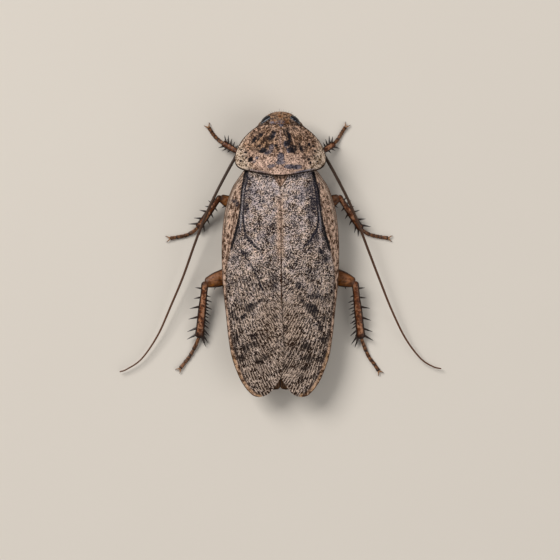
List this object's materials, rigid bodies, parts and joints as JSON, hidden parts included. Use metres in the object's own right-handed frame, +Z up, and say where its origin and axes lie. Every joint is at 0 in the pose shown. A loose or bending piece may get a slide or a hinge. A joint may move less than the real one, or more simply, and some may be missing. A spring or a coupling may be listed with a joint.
{
  "type": "madeira cockroach display model",
  "caption": "Life-size still model of an adult winged cockroach at rest, standing on its feet with its wings folded.",
  "frame": {"origin": "on the floor, under the middle of the animal's outline", "axes": "+Y towards the head, +X towards the animal's right side, +Z up"},
  "size_m": [0.0519, 0.0456, 0.0088],
  "materials": {
    "head": "satin mottled cuticle",
    "eye": "glossy",
    "antenna": "satin",
    "pronotum": "satin mottled cuticle",
    "body": "satin cuticle",
    "forewing": "leathery mottled wing",
    "hindwing": "thin smoky membrane",
    "leg": "glossy amber cuticle",
    "foot": "satin cuticle"
  },
  "bodies": {
    "root": {"abdomen": "body", "antenna_left_far": "antenna", "antenna_left_near": "antenna", "antenna_left_scape": "antenna", "antenna_right_far": "antenna", "antenna_right_near": "antenna", "antenna_right_scape": "antenna", "cercus_left": "body", "cercus_right": "body", "eye_left": "eye", "eye_right": "eye", "fore_left_coxa": "leg", "fore_left_femur": "leg", "fore_left_tarsus": "foot", "fore_left_tibia": "leg", "fore_right_coxa": "leg", "fore_right_femur": "leg", "fore_right_tarsus": "foot", "fore_right_tibia": "leg", "forewing_left": "forewing", "forewing_right": "forewing", "head": "head", "hind_left_coxa": "leg", "hind_left_femur": "leg", "hind_left_tarsus": "foot", "hind_left_tibia": "leg", "hind_right_coxa": "leg", "hind_right_femur": "leg", "hind_right_tarsus": "foot", "hind_right_tibia": "leg", "hindwing_left": "hindwing", "hindwing_right": "hindwing", "labrum": "head", "middle_left_coxa": "leg", "middle_left_femur": "leg", "middle_left_tarsus": "foot", "middle_left_tibia": "leg", "middle_right_coxa": "leg", "middle_right_femur": "leg", "middle_right_tarsus": "foot", "middle_right_tibia": "leg", "neck": "body", "palp_left": "head", "palp_right": "head", "pronotum": "pronotum", "prothorax": "body", "scutellum": "pronotum", "thorax": "body"}
  },
  "joints": []
}
